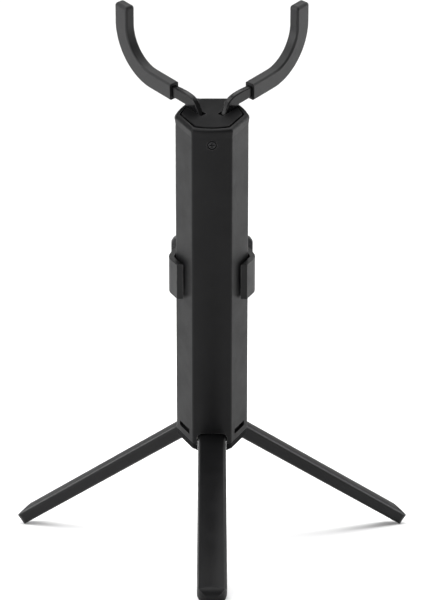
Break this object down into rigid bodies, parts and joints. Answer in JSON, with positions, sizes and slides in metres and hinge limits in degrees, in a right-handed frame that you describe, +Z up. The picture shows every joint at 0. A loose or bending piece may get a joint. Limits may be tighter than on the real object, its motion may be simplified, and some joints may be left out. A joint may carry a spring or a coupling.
{
  "type": "saxophone stand",
  "caption": "Folding saxophone stand: a leaning hexagonal column on folding legs, a yoke with padded arms on top and a sliding rest clipped round the column.",
  "frame": {"origin": "on the floor, at the middle of the stand's footprint box", "axes": "+Z up; the column leans back towards -Y, over the rear leg; the side legs spread to +X and -X, and the instrument leans on the +Y side"},
  "size_m": [0.2928, 0.3348, 0.4038],
  "materials": {
    "shell_plastic": "satin, finely grained",
    "base_plastic": "satin",
    "head_plastic": "satin",
    "leg_plastic": "satin, finely grained",
    "clip_plastic": "satin",
    "plate_plastic": "matt, coarsely grained",
    "rest_rubber": "matt",
    "slide_pad": "felt",
    "arm_steel": "gloss",
    "sleeve_rubber": "satin",
    "pin_steel": "ground",
    "screw_steel": "black oxide",
    "washer_nylon": "waxy"
  },
  "bodies": {
    "column": {"body_shell": "shell_plastic", "top_cap": "head_plastic", "yoke_head": "head_plastic", "cap_screws": "screw_steel", "yoke_pin_left": "pin_steel", "yoke_pin_right": "pin_steel", "yoke_washers": "washer_nylon", "base_hub": "base_plastic", "leg_pins": "pin_steel", "leg_washers": "washer_nylon"},
    "leg_rear": {"leg_rear": "leg_plastic"},
    "leg_right": {"leg_right": "leg_plastic"},
    "leg_left": {"leg_left": "leg_plastic"},
    "arm_left": {"yoke_arm_left": "arm_steel", "yoke_sleeve_left": "sleeve_rubber"},
    "arm_right": {"yoke_arm_right": "arm_steel", "yoke_sleeve_right": "sleeve_rubber"},
    "rest": {"rest_clip": "clip_plastic", "clip_pads": "slide_pad", "rest_plate": "plate_plastic", "rest_pad": "rest_rubber", "rest_screws": "screw_steel"}
  },
  "joints": [
    {"name": "leg_rear_fold", "type": "hinge", "parent": "column", "child": "leg_rear", "pos_m": [0, 0.01853, 0.089], "axis": [1, 0, 0], "range_deg": [0, 90.7]},
    {"name": "leg_right_fold", "type": "hinge", "parent": "column", "child": "leg_right", "pos_m": [0.01039, 0.03477, 0.09674], "axis": [-0.5, 0.7817, 0.3728], "range_deg": [0, 47.81]},
    {"name": "leg_left_fold", "type": "hinge", "parent": "column", "child": "leg_left", "pos_m": [-0.01039, 0.03477, 0.09674], "axis": [-0.5, -0.7817, -0.3728], "range_deg": [0, 47.81]},
    {"name": "arm_left_lift", "type": "hinge", "parent": "column", "child": "arm_left", "pos_m": [-0.01294, -0.07403, 0.32516], "axis": [0.766, 0.5802, 0.2767], "range_deg": [0, 35]},
    {"name": "arm_right_lift", "type": "hinge", "parent": "column", "child": "arm_right", "pos_m": [0.01294, -0.07403, 0.32516], "axis": [0.766, -0.5802, -0.2767], "range_deg": [0, 35]},
    {"name": "rest_slide", "type": "slide", "parent": "column", "child": "rest", "axis": [0, -0.4305, 0.9026], "range_m": [-0.06, 0.06]}
  ]
}
